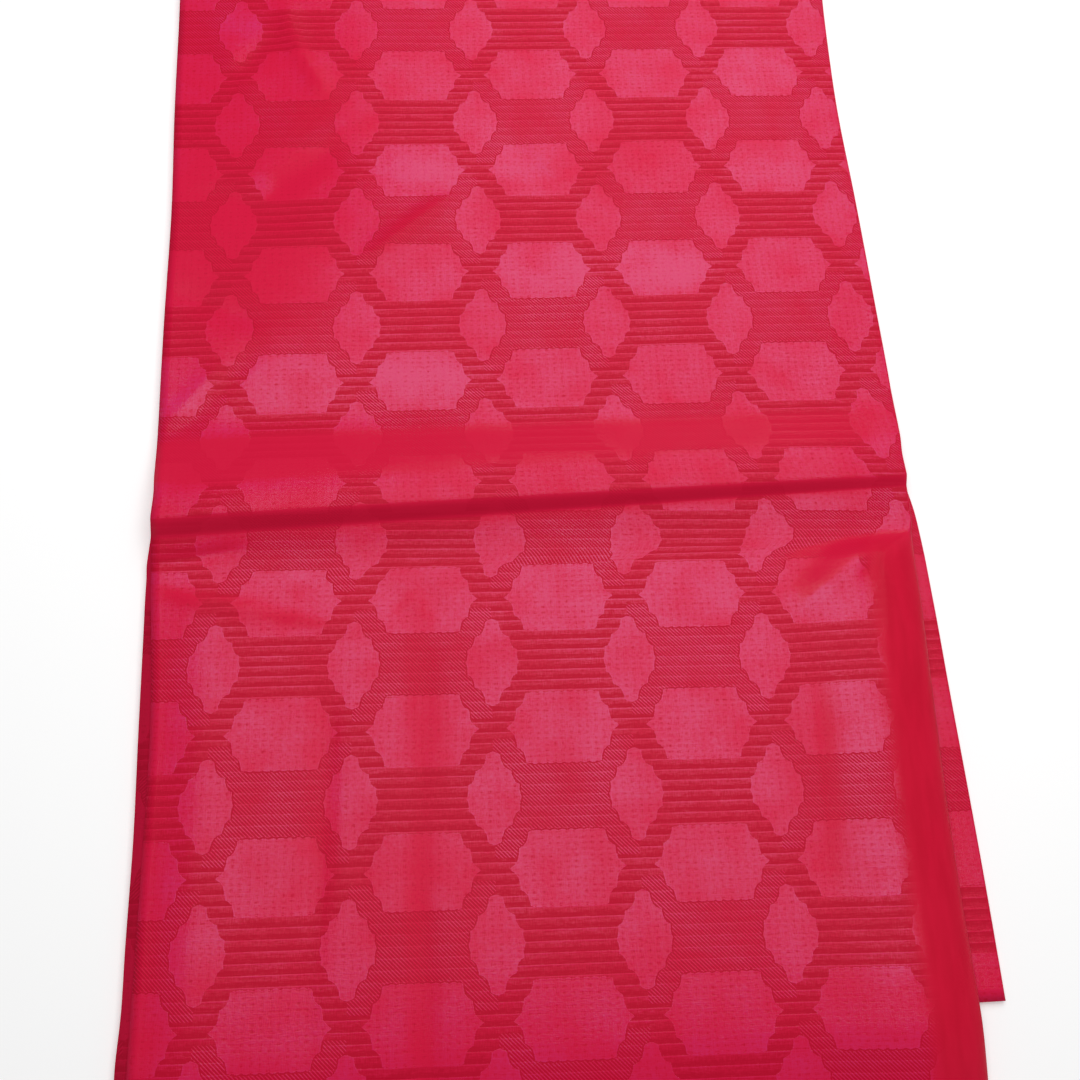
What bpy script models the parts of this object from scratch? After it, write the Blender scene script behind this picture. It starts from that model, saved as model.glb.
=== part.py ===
"""One length of damask cloth, folded and laid on a table.

The cloth is doubled lengthwise with its fold on the right. The doubled strip is then folded
over crosswise at its far end, so an over strip lies on a shorter under strip. A storage crease
stands up as a ridge across both strips. Past the ridge the over strip's right fold opens into
a soft roll, and the under strip shows as a slim wedge beside it.

Units are metres and +Z is up. X runs across the strip and Y runs away from the near end.
Places in the tables are measured from the first column of the woven pattern and from the
ridge. CENTRE moves the whole cloth so that its footprint is centred on the origin.
"""
import math
from collections import namedtuple

import bmesh
import bpy
from mathutils import Vector

# Thickness of the layers
PLY = 0.0012
PLY_GAP = 0.0009
HALF_STRIP = PLY + PLY_GAP / 2
PLY_OFFSET = (PLY + PLY_GAP) / 2

# Heights of the middle of each doubled strip where it lies flat
UNDER_HEIGHT = HALF_STRIP
OVER_HEIGHT = 3 * HALF_STRIP + PLY_GAP

# Length of the cloth's parts
NEAR_END = -0.3250
UNDER_END = -0.2600
FAR_TURN = 0.3323
TURN_RADIUS = 0.0026
TURN_LIFT = 2 * TURN_RADIUS - (OVER_HEIGHT - UNDER_HEIGHT)
TURN_LIFT_LENGTH = 0.030

# The over strip comes down to the table past the under strip's end
DROP_START = UNDER_END - 0.004
DROP_END = DROP_START - 0.046

# Storage ridge, lower and later towards the right. Its far side is an even slope. Its near side
# falls off steeply under the crest and runs out in a gentle tail.
RIDGE_LEFT_HEIGHT = 0.0135
RIDGE_RIGHT_HEIGHT = 0.0085
RIDGE_UNDER_SHARE = 0.85
RIDGE_CREST = -0.0035
RIDGE_FAR_WIDTH = 0.0575
RIDGE_LEFT_STEEP = 0.0105
RIDGE_RIGHT_STEEP = 0.0066
RIDGE_TAIL_WIDTH = 0.0345
RIDGE_STEEP_SHARE = 0.45
RIDGE_SLANT = 0.030
RIDGE_EDGE_SAG = 0.15
RIDGE_EDGE_WIDTH = 0.045
SLANT_REACH = 0.120

# Shares of each slope's width that its soft foot and its soft crest take
Softness = namedtuple("Softness", "foot crest")
FAR_SLOPE = Softness(0.35, 0.40)
STEEP_SLOPE = Softness(0.30, 0.28)
TAIL_SLOPE = Softness(0.50, 0.15)

# Soft roll along the right fold, where a row's roll value is 1
ROLL_RISE = 0.0110
ROLL_BACK = 0.0260
ROLL_UNDER_BACK = 0.0070
ROLL_POWER = 1.5
ROLL_LIMB_SHARE = 0.34
ROLL_RAMP = 0.0600

# The top ply comes down to the ply below along its left edge
LEFT_DROOP = 0.0280

STRIP_WIDTH = 0.3950
CENTRE = Vector((0.2016, 0.0058, 0.0))

# Edges of one doubled strip. left is the outer ply's free edge, inner_left the inner ply's,
# right the fold. puff is the air under the top ply, and roll goes from 0, a crisp fold, to 1.
Edge = namedtuple("Edge", "along left inner_left right puff roll")

OVER_EDGES = (
    Edge(-0.3250, 0.0015, -0.0042, 0.3905, 0.0012, 0.80),
    Edge(-0.2680, 0.0015, -0.0046, 0.3914, 0.0024, 1.00),
    Edge(-0.2430, 0.0018, -0.0032, 0.3911, 0.0028, 1.00),
    Edge(-0.2140, 0.0024, -0.0030, 0.3905, 0.0028, 0.95),
    Edge(-0.1670, 0.0032, -0.0022, 0.3907, 0.0026, 1.00),
    Edge(-0.1170, 0.0036, -0.0027, 0.3920, 0.0022, 1.00),
    Edge(-0.0680, 0.0016, -0.0030, 0.3934, 0.0014, 0.92),
    Edge(-0.0450, 0.0002, -0.0032, 0.3936, 0.0006, 0.75),
    Edge(-0.0340, -0.0003, -0.0031, 0.3950, 0.0002, 0.10),
    Edge(-0.0260, -0.0006, -0.0030, 0.3962, 0.0000, 0.00),
    Edge(0.0060, 0.0018, 0.0024, 0.3942, 0.0000, 0.00),
    Edge(0.0200, 0.0008, 0.0020, 0.3954, 0.0000, 0.00),
    Edge(0.0470, -0.0008, 0.0010, 0.3963, 0.0000, 0.00),
    Edge(0.1090, -0.0011, 0.0008, 0.3948, 0.0000, 0.00),
    Edge(0.1750, -0.0005, 0.0012, 0.3928, 0.0000, 0.00),
    Edge(0.2440, -0.0020, 0.0000, 0.3902, 0.0000, 0.00),
    Edge(0.3323, -0.0025, -0.0005, 0.3915, 0.0000, 0.00),
)

UNDER_EDGES = (
    Edge(-0.2600, 0.0120, 0.0130, 0.4072, 0.0000, 0.00),
    Edge(-0.2140, 0.0110, 0.0120, 0.4066, 0.0000, 0.00),
    Edge(-0.1670, 0.0100, 0.0112, 0.4056, 0.0000, 0.00),
    Edge(-0.1170, 0.0088, 0.0100, 0.4042, 0.0000, 0.00),
    Edge(-0.0680, 0.0074, 0.0086, 0.4030, 0.0000, 0.00),
    Edge(-0.0260, 0.0060, 0.0072, 0.4006, 0.0000, 0.00),
    Edge(0.0060, 0.0044, 0.0056, 0.3936, 0.0000, 0.00),
    Edge(0.0470, 0.0024, 0.0040, 0.3952, 0.0000, 0.00),
    Edge(0.1750, 0.0000, 0.0020, 0.3922, 0.0000, 0.00),
    Edge(0.3323, -0.0025, -0.0005, 0.3915, 0.0000, 0.00),
)

# Low swells of the top ply, where it doesn't lie quite flat
Swell = namedtuple("Swell", "across along height radius_x radius_y")

SWELLS = (
    Swell(0.0950, 0.2600, 0.0016, 0.050, 0.045),
    Swell(0.1250, 0.1650, 0.0018, 0.060, 0.040),
    Swell(0.2900, 0.2300, 0.0012, 0.080, 0.060),
    Swell(0.3000, 0.1100, 0.0012, 0.070, 0.045),
    Swell(0.0550, 0.0850, 0.0014, 0.045, 0.030),
    Swell(0.1050, -0.1400, 0.0016, 0.030, 0.070),
    Swell(0.2350, -0.1250, 0.0014, 0.060, 0.060),
    Swell(0.1500, -0.2250, 0.0012, 0.050, 0.050),
)

# Steps of the mesh
TOP_STEPS = 15
ROLL_STEPS = 5
UNDER_STEPS = 9
TURN_STEPS = 8

# Stations along each strip, closer together over the ridge and the changes near it
OVER_STATIONS = (
    (NEAR_END, DROP_END, 1),
    (DROP_END, DROP_START, 5),
    (DROP_START, -0.080, 7),
    (-0.080, -0.040, 4),
    (-0.040, -0.016, 3),
    (-0.016, 0.004, 10),
    (0.004, 0.056, 8),
    (0.056, FAR_TURN - TURN_LIFT_LENGTH, 8),
    (FAR_TURN - TURN_LIFT_LENGTH, FAR_TURN, 3),
)
UNDER_STATIONS = (
    (FAR_TURN, 0.056, 6),
    (0.056, 0.004, 6),
    (0.004, -0.016, 10),
    (-0.016, -0.040, 3),
    (-0.040, UNDER_END, 6),
)


def clear_scene():
    for item in list(bpy.data.objects):
        bpy.data.objects.remove(item, do_unlink=True)


def ease(share):
    """Smooth step from 0 to 1."""
    share = min(1.0, max(0.0, share))
    return share * share * (3.0 - 2.0 * share)


def blend(low, high, share):
    return low + (high - low) * share


def edge_at(rows, along):
    """Smooth curve through the rows of an edge table, read at one place along the strip."""
    along = min(rows[-1].along, max(rows[0].along, along))
    last = len(rows) - 1
    index = 0
    while index < last - 1 and rows[index + 1].along < along:
        index += 1
    start, end = rows[index], rows[index + 1]
    before, after = rows[max(index - 1, 0)], rows[min(index + 2, last)]
    length = end.along - start.along
    share = (along - start.along) / length
    start_pull = length / (end.along - before.along)
    end_pull = length / (after.along - start.along)
    values = []
    for a, b, c, d in zip(before, start, end, after):
        leave = (c - a) * start_pull
        arrive = (d - b) * end_pull
        values.append(
            b * (2 * share**3 - 3 * share**2 + 1)
            + leave * (share**3 - 2 * share**2 + share)
            + c * (3 * share**2 - 2 * share**3)
            + arrive * (share**3 - share**2)
        )
    edge = Edge(*values)
    return edge._replace(puff=max(edge.puff, 0.0), roll=min(max(edge.roll, 0.0), 1.0))


def slanted(across, along):
    """Turn a station so that it runs along the slanting ridge, and square again away from it."""
    weight = 1.0 - ease(abs(along) / SLANT_REACH)
    return along + RIDGE_SLANT * (across - STRIP_WIDTH / 2) * weight


def rise(share, softness):
    """Share of the height at a share of the way up a slope."""
    share = min(1.0, max(0.0, share))
    full = 1.0 - (softness.foot + softness.crest) / 2
    if share < softness.foot:
        return share**2 / (2 * softness.foot) / full
    if share < 1.0 - softness.crest:
        return (share - softness.foot / 2) / full
    return 1.0 - (1.0 - share) ** 2 / (2 * softness.crest) / full


def ridge_height(across, along):
    """Height of the ridge above the flat strip at one place of a station."""
    share_across = min(1.0, max(0.0, across / STRIP_WIDTH))
    height = blend(RIDGE_LEFT_HEIGHT, RIDGE_RIGHT_HEIGHT, share_across)
    from_edge = min(across, STRIP_WIDTH - across) / RIDGE_EDGE_WIDTH
    height *= 1.0 - RIDGE_EDGE_SAG * (1.0 - ease(from_edge))
    from_crest = along - RIDGE_CREST
    if from_crest > 0:
        return height * rise(1.0 - from_crest / RIDGE_FAR_WIDTH, FAR_SLOPE)
    steep_width = blend(RIDGE_LEFT_STEEP, RIDGE_RIGHT_STEEP, share_across)
    steep = rise(1.0 + from_crest / steep_width, STEEP_SLOPE)
    tail = rise(1.0 + from_crest / RIDGE_TAIL_WIDTH, TAIL_SLOPE)
    return height * blend(tail, steep, RIDGE_STEEP_SHARE)


def over_surface(across, along):
    """Middle of the over strip."""
    height = OVER_HEIGHT + ridge_height(across, along)
    height += TURN_LIFT * ease((along - FAR_TURN + TURN_LIFT_LENGTH) / TURN_LIFT_LENGTH)
    height -= (OVER_HEIGHT - UNDER_HEIGHT) * ease((along - DROP_START) / (DROP_END - DROP_START))
    return Vector((across, slanted(across, along), height))


def under_surface(across, along):
    """Middle of the under strip."""
    height = UNDER_HEIGHT + RIDGE_UNDER_SHARE * ridge_height(across, along)
    return Vector((across, slanted(across, along), height))


def upward_normal(surface, across, along):
    step = 0.0002
    go_right = surface(across + step, along) - surface(across - step, along)
    go_far = surface(across, along + step) - surface(across, along - step)
    return go_right.cross(go_far).normalized()


def swell_height(across, along):
    total = 0.0
    for swell in SWELLS:
        x = (across - swell.across) / swell.radius_x
        y = (along - swell.along) / swell.radius_y
        total += swell.height * math.exp(-x * x - y * y)
    return total


def top_ply(edge, along, swells):
    """Outer ply from its free left edge to the crest of the fold, as (across, offset)."""
    crest_back = blend(PLY_OFFSET, ROLL_BACK, edge.roll)
    crest = edge.right - crest_back
    points = []
    for step in range(TOP_STEPS + 1):
        across = blend(edge.left, crest, step / TOP_STEPS)
        droop = ease((across - edge.left) / LEFT_DROOP)
        ramp = ease(1.0 - (crest - across) / ROLL_RAMP)
        lift = blend(edge.puff * droop, ROLL_RISE * edge.roll, ramp)
        if swells:
            fade = droop * ease((crest - across) / LEFT_DROOP)
            lift += fade * swell_height(across, along)
        points.append((across, PLY_OFFSET + lift))
    return points


def fold(edge):
    """Right fold from its crest round to the inner ply, as (across, offset)."""
    crest_back = blend(PLY_OFFSET, ROLL_BACK, edge.roll)
    under_back = blend(PLY_OFFSET, ROLL_UNDER_BACK, edge.roll)
    power = blend(2.0, ROLL_POWER, edge.roll)
    crest = PLY_OFFSET + ROLL_RISE * edge.roll
    limb = blend(-PLY_OFFSET, crest, blend(0.5, ROLL_LIMB_SHARE, edge.roll))
    points = []
    for step in range(1, ROLL_STEPS + 1):
        angle = step / ROLL_STEPS * math.pi / 2
        across = edge.right - crest_back + crest_back * math.sin(angle) ** (2 / power)
        points.append((across, limb + (crest - limb) * math.cos(angle) ** (2 / power)))
    for step in range(1, ROLL_STEPS + 1):
        angle = step / ROLL_STEPS * math.pi / 2
        across = edge.right - under_back + under_back * math.cos(angle)
        points.append((across, limb - (limb + PLY_OFFSET) * math.sin(angle)))
    return points


def inner_ply(edge):
    """Inner ply from the fold back to its free left edge, as (across, offset)."""
    start = edge.right - blend(PLY_OFFSET, ROLL_UNDER_BACK, edge.roll)
    points = []
    for step in range(1, UNDER_STEPS + 1):
        points.append((blend(start, edge.inner_left, step / UNDER_STEPS), -PLY_OFFSET))
    return points


def section(edge, along, swells):
    return top_ply(edge, along, swells) + fold(edge) + inner_ply(edge)


def stations(runs):
    """Places along a strip from a table of (start, end, steps)."""
    places = [runs[0][0]]
    for start, end, steps in runs:
        for step in range(1, steps + 1):
            places.append(blend(start, end, step / steps))
    return places


def over_rows():
    rows = []
    for along in stations(OVER_STATIONS):
        row = []
        for across, offset in section(edge_at(OVER_EDGES, along), along, True):
            normal = upward_normal(over_surface, across, along)
            row.append(over_surface(across, along) + normal * offset)
        rows.append(row)
    return rows


def turn_rows():
    """The far fold, a half turn from the over strip down to the under strip."""
    edge = edge_at(OVER_EDGES, FAR_TURN)
    middle = UNDER_HEIGHT + TURN_RADIUS
    rows = []
    for step in range(1, TURN_STEPS):
        angle = step / TURN_STEPS * math.pi
        outward = Vector((0.0, math.sin(angle), math.cos(angle)))
        row = []
        for across, offset in section(edge, FAR_TURN, False):
            base = Vector((across, FAR_TURN, middle))
            row.append(base + outward * (TURN_RADIUS + offset))
        rows.append(row)
    return rows


def under_rows():
    """The under strip is upside down, so its outer ply lies on the table."""
    rows = []
    for along in stations(UNDER_STATIONS):
        row = []
        for across, offset in section(edge_at(UNDER_EDGES, along), along, False):
            normal = upward_normal(under_surface, across, along)
            row.append(under_surface(across, along) - normal * offset)
        rows.append(row)
    return rows


def sheet_mesh(name, rows):
    """One open sheet through the rows of points, its face side out."""
    mesh = bpy.data.meshes.new(name)
    sheet = bmesh.new()
    grid = []
    for row in rows:
        grid.append([sheet.verts.new(point - CENTRE) for point in row])
    for row, next_row in zip(grid, grid[1:]):
        for index in range(len(row) - 1):
            corners = (row[index], row[index + 1], next_row[index + 1], next_row[index])
            sheet.faces.new(corners)
    sheet.to_mesh(mesh)
    sheet.free()
    mesh.shade_smooth()
    return mesh


def damask_material():
    material = bpy.data.materials.new("red_damask")
    material.use_nodes = True
    shader = material.node_tree.nodes["Principled BSDF"]
    shader.inputs["Base Color"].default_value = (0.58, 0.010, 0.045, 1.0)
    shader.inputs["Roughness"].default_value = 0.45
    shader.inputs["Metallic"].default_value = 0.0
    return material


def folded_cloth():
    rows = over_rows() + turn_rows() + under_rows()
    mesh = sheet_mesh("folded_cloth", rows)
    mesh.materials.append(damask_material())
    cloth = bpy.data.objects.new("folded_cloth", mesh)
    bpy.context.collection.objects.link(cloth)
    thickness = cloth.modifiers.new("Thickness", "SOLIDIFY")
    thickness.thickness = PLY
    thickness.offset = 0.0
    thickness.use_even_offset = True
    thickness.use_quality_normals = True
    thickness.use_rim = True
    return cloth


clear_scene()
folded_cloth()
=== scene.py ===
"""Looks of one folded length of red damask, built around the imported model.

The cloth is doubled lengthwise with its fold on the right, then folded over crosswise at its far
end. A storage crease stands up as a ridge across it, and past the ridge the right fold opens into
a soft roll. This script makes the cloth as a fine sheet on the same folds, with its small creases,
and weaves the pattern of hexagons and lozenges in its material.

Units are metres and +Z is up. Places in the tables are measured from the first column of the
woven pattern and from the ridge. CENTRE moves the whole cloth so that its footprint is centred
on the origin.
"""

import math
from collections import namedtuple

import bmesh
import bpy
from mathutils import Matrix, Vector


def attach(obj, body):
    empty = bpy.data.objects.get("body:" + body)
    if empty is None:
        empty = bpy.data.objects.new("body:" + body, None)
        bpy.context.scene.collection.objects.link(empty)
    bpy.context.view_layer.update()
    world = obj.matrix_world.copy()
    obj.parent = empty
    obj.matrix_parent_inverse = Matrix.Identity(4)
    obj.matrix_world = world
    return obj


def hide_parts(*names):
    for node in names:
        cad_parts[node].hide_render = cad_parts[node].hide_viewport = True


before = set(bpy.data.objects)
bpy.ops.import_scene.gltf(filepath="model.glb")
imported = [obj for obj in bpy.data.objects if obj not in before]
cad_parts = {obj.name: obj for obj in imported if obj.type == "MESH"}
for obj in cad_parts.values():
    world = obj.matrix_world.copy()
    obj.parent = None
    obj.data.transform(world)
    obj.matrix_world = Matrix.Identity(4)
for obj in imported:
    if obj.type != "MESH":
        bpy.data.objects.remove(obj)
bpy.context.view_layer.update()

# Layers of the solid model, whose folds the sheet follows
PLY = 0.0012
PLY_GAP = 0.0009
HALF_STRIP = PLY + PLY_GAP / 2
PLY_OFFSET = (PLY + PLY_GAP) / 2
CLOTH = 0.0005

# Heights of the middle of each doubled strip where it lies flat
UNDER_HEIGHT = HALF_STRIP
OVER_HEIGHT = 3 * HALF_STRIP + PLY_GAP

# Length of the cloth's parts
NEAR_END = -0.3250
UNDER_END = -0.2600
FAR_TURN = 0.3323
TURN_RADIUS = 0.0026
TURN_LIFT = 2 * TURN_RADIUS - (OVER_HEIGHT - UNDER_HEIGHT)
TURN_LIFT_LENGTH = 0.030

# The over strip comes down to the table past the under strip's end
DROP_START = UNDER_END - 0.004
DROP_END = DROP_START - 0.046

# Storage ridge, lower and later towards the right. Its far side is an even slope. Its near side
# falls off steeply under the crest and runs out in a gentle tail.
RIDGE_LEFT_HEIGHT = 0.0135
RIDGE_RIGHT_HEIGHT = 0.0085
RIDGE_UNDER_SHARE = 0.85
RIDGE_CREST = -0.0035
RIDGE_FAR_WIDTH = 0.0575
RIDGE_LEFT_STEEP = 0.0105
RIDGE_RIGHT_STEEP = 0.0066
RIDGE_TAIL_WIDTH = 0.0345
RIDGE_STEEP_SHARE = 0.45
RIDGE_SLANT = 0.030
RIDGE_EDGE_SAG = 0.15
RIDGE_EDGE_WIDTH = 0.045
SLANT_REACH = 0.120

# Shares of each slope's width that its soft foot and its soft crest take
Softness = namedtuple("Softness", "foot crest")
FAR_SLOPE = Softness(0.35, 0.40)
STEEP_SLOPE = Softness(0.30, 0.28)
TAIL_SLOPE = Softness(0.50, 0.15)

# Soft roll along the right fold, where a row's roll value is 1
ROLL_RISE = 0.0110
ROLL_BACK = 0.0260
ROLL_UNDER_BACK = 0.0070
ROLL_POWER = 1.5
ROLL_LIMB_SHARE = 0.34
ROLL_RAMP = 0.0600

# Width of the roll's face, on which painted shade, a plain red with darker streaks, takes the place of
# the pattern and its sheen, and of its soft border
ROLL_FACE = 0.0210
ROLL_BORDER = 0.0120

# The top ply comes down to the ply below along its left edge
LEFT_DROOP = 0.0280

STRIP_WIDTH = 0.3950
CENTRE = Vector((0.2016, 0.0058, 0.0))

# Woven repeat: columns run to the right and rows run towards the near end
COLUMN_PITCH = 0.0690
ROW_PITCH = 0.0663
RIDGE_ROW = 4.0

# Past the ridge the pattern has turned a little and moved up, by the cloth that the ridge takes
NEAR_TURN = math.radians(-0.945)
NEAR_PIVOT_COLUMN = 3.0
NEAR_SHIFT = (0.00026, 0.00935)

# Edges of one doubled strip. left is the outer ply's free edge, inner_left the inner ply's,
# right the fold. puff is the air under the top ply, and roll goes from 0, a crisp fold, to 1.
Edge = namedtuple("Edge", "along left inner_left right puff roll")

OVER_EDGES = (
    Edge(-0.3250, 0.0015, -0.0042, 0.3905, 0.0012, 0.80),
    Edge(-0.2680, 0.0015, -0.0046, 0.3914, 0.0024, 1.00),
    Edge(-0.2430, 0.0018, -0.0032, 0.3911, 0.0028, 1.00),
    Edge(-0.2140, 0.0024, -0.0030, 0.3905, 0.0028, 0.95),
    Edge(-0.1670, 0.0032, -0.0022, 0.3907, 0.0026, 1.00),
    Edge(-0.1170, 0.0036, -0.0027, 0.3920, 0.0022, 1.00),
    Edge(-0.0680, 0.0016, -0.0030, 0.3934, 0.0014, 0.92),
    Edge(-0.0450, 0.0002, -0.0032, 0.3936, 0.0006, 0.75),
    Edge(-0.0340, -0.0003, -0.0031, 0.3950, 0.0002, 0.10),
    Edge(-0.0260, -0.0006, -0.0030, 0.3962, 0.0000, 0.00),
    Edge(0.0060, 0.0018, 0.0024, 0.3942, 0.0000, 0.00),
    Edge(0.0200, 0.0008, 0.0020, 0.3954, 0.0000, 0.00),
    Edge(0.0470, -0.0008, 0.0010, 0.3963, 0.0000, 0.00),
    Edge(0.1090, -0.0011, 0.0008, 0.3948, 0.0000, 0.00),
    Edge(0.1750, -0.0005, 0.0012, 0.3928, 0.0000, 0.00),
    Edge(0.2440, -0.0020, 0.0000, 0.3902, 0.0000, 0.00),
    Edge(0.3323, -0.0025, -0.0005, 0.3915, 0.0000, 0.00),
)

UNDER_EDGES = (
    Edge(-0.2600, 0.0120, 0.0130, 0.4072, 0.0000, 0.00),
    Edge(-0.2140, 0.0110, 0.0120, 0.4066, 0.0000, 0.00),
    Edge(-0.1670, 0.0100, 0.0112, 0.4056, 0.0000, 0.00),
    Edge(-0.1170, 0.0088, 0.0100, 0.4042, 0.0000, 0.00),
    Edge(-0.0680, 0.0074, 0.0086, 0.4030, 0.0000, 0.00),
    Edge(-0.0260, 0.0060, 0.0072, 0.4006, 0.0000, 0.00),
    Edge(0.0060, 0.0044, 0.0056, 0.3936, 0.0000, 0.00),
    Edge(0.0470, 0.0024, 0.0040, 0.3952, 0.0000, 0.00),
    Edge(0.1750, 0.0000, 0.0020, 0.3922, 0.0000, 0.00),
    Edge(0.3323, -0.0025, -0.0005, 0.3915, 0.0000, 0.00),
)

# Patches of painted sheen and gloss on the face, each an oval with its turn in degrees. A bright patch
# raises the coat's gloss and paints pink sheen into the colour. A dull one lowers both and paints the
# pattern fainter, which is painted shade, as along the creases and under the ridge's crest.
Patch = namedtuple("Patch", "across along radius_x radius_y turn gloss")

PATCHES = (
    Patch(0.0350, 0.2750, 0.0850, 0.0600, 0.0, -0.50),
    Patch(0.0300, 0.1550, 0.0720, 0.0700, 0.0, -0.80),
    Patch(0.0850, 0.2080, 0.0500, 0.0130, 38.0, -0.45),
    Patch(0.0490, 0.1900, 0.0090, 0.0080, 60.0, 0.70),
    Patch(0.0339, 0.3010, 0.0170, 0.0150, 0.0, 0.95),
    Patch(0.0820, 0.2380, 0.0200, 0.0100, 30.0, -0.40),
    Patch(0.1340, 0.1620, 0.0300, 0.0080, 40.0, -0.60),
    Patch(0.2075, 0.1664, 0.0280, 0.0100, 0.0, -0.40),
    Patch(0.2640, 0.2050, 0.0400, 0.0260, 20.0, -0.35),
    Patch(0.1385, 0.2010, 0.0280, 0.0190, 0.0, 0.80),
    Patch(0.1920, 0.2060, 0.0220, 0.0130, -30.0, 0.60),
    Patch(0.2150, 0.1300, 0.0300, 0.0180, 0.0, 0.60),
    Patch(0.2740, 0.1320, 0.0300, 0.0180, 0.0, 0.75),
    Patch(0.3449, 0.2667, 0.0330, 0.0190, 0.0, 0.35),
    Patch(0.3440, 0.1980, 0.0300, 0.0170, 0.0, 0.15),
    Patch(0.0703, 0.0688, 0.0330, 0.0160, 0.0, 0.65),
    Patch(0.1374, 0.0668, 0.0330, 0.0180, 0.0, 0.75),
    Patch(0.0149, 0.0616, 0.0160, 0.0070, 35.0, 0.60),
    Patch(0.2400, -0.0580, 0.0800, 0.0300, 0.0, 0.35),
    Patch(0.0700, -0.0520, 0.0260, 0.0160, 0.0, 0.25),
    Patch(0.0460, -0.0580, 0.0420, 0.0080, -12.0, -0.60),
    Patch(0.3480, -0.0520, 0.0240, 0.0070, 38.0, 0.50),
    Patch(0.3340, -0.0500, 0.0200, 0.0060, 38.0, -0.45),
    Patch(0.3829, -0.0133, 0.0090, 0.0120, 0.0, 0.50),
    Patch(0.2500, -0.1230, 0.0700, 0.0400, 0.0, 0.15),
    Patch(0.1380, -0.1150, 0.0120, 0.0600, 4.0, -0.50),
    Patch(0.1335, -0.2300, 0.0080, 0.0800, 0.0, -0.50),
    Patch(0.0870, -0.1500, 0.0080, 0.0700, 3.0, -0.45),
    Patch(0.1150, -0.1880, 0.0550, 0.0350, 0.0, -0.25),
    Patch(0.3320, -0.1300, 0.0040, 0.0450, -3.0, -0.45),
    Patch(0.3240, -0.1600, 0.0130, 0.0900, 2.0, -0.30),
    Patch(0.3500, -0.1500, 0.0120, 0.0900, 2.0, 0.25),
    Patch(0.0040, -0.1900, 0.0110, 0.1500, 0.0, -0.60),
    Patch(0.2000, -0.3100, 0.2600, 0.0900, 0.0, -0.27),
    Patch(0.1975, -0.0010, 0.2600, 0.0140, 1.7, -0.30),
    Patch(0.1000, -0.0140, 0.1500, 0.0070, 2.0, -0.50),
    Patch(0.3000, -0.0060, 0.1200, 0.0045, 2.0, -0.40),
    Patch(0.0680, 0.2885, 0.0190, 0.0032, -74.0, -0.55),
    Patch(0.0790, 0.2610, 0.0150, 0.0036, -60.0, -0.50),
    Patch(0.0520, 0.2870, 0.0160, 0.0030, -74.0, -0.30),
    Patch(0.1270, -0.0570, 0.0090, 0.0026, 52.0, -0.35),
    Patch(0.1400, -0.0650, 0.0140, 0.0030, -60.0, -0.35),
    Patch(0.0740, -0.0640, 0.0220, 0.0034, -11.0, -0.50),
    Patch(0.0150, -0.0490, 0.0140, 0.0034, -22.0, -0.50),
    Patch(0.3780, -0.0455, 0.0180, 0.0034, 26.0, -0.70),
)
# The under strip and the inner ply are painted duller than the face, with less painted sheen and coat
# gloss. On the inner ply, which lies in shade, this is painted shade.
UNDER_PAINTED_SHEEN_AND_GLOSS = -0.45
INNER_PAINTED_SHEEN_AND_GLOSS = -0.90

# Tilts of the face at which the pattern's painted sheen and contrast start to fade, and at which they
# are faintest: the shade of slopes is painted in this way. They fade sooner where it tilts away towards
# the far end than where it tilts to the near end.
TiltLimits = namedtuple("TiltLimits", "clear faint")
AWAY_TILTS = TiltLimits(math.radians(8.5), math.radians(17.0))
NEAR_TILTS = TiltLimits(math.radians(15.0), math.radians(36.0))

# Low swells of the top ply, where it doesn't lie quite flat
Swell = namedtuple("Swell", "across along height radius_x radius_y")

SWELLS = (
    Swell(0.0950, 0.2600, 0.0016, 0.050, 0.045),
    Swell(0.1250, 0.1650, 0.0018, 0.060, 0.040),
    Swell(0.2900, 0.2300, 0.0012, 0.080, 0.060),
    Swell(0.3000, 0.1100, 0.0012, 0.070, 0.045),
    Swell(0.0550, 0.0850, 0.0014, 0.045, 0.030),
    Swell(0.1050, -0.1400, 0.0016, 0.030, 0.070),
    Swell(0.2350, -0.1250, 0.0014, 0.060, 0.060),
    Swell(0.1500, -0.2250, 0.0012, 0.050, 0.050),
)

# Small creases pressed into the top ply, each from a start to an end and as high as its middle
Crease = namedtuple("Crease", "start_x start_y end_x end_y height width")

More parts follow.
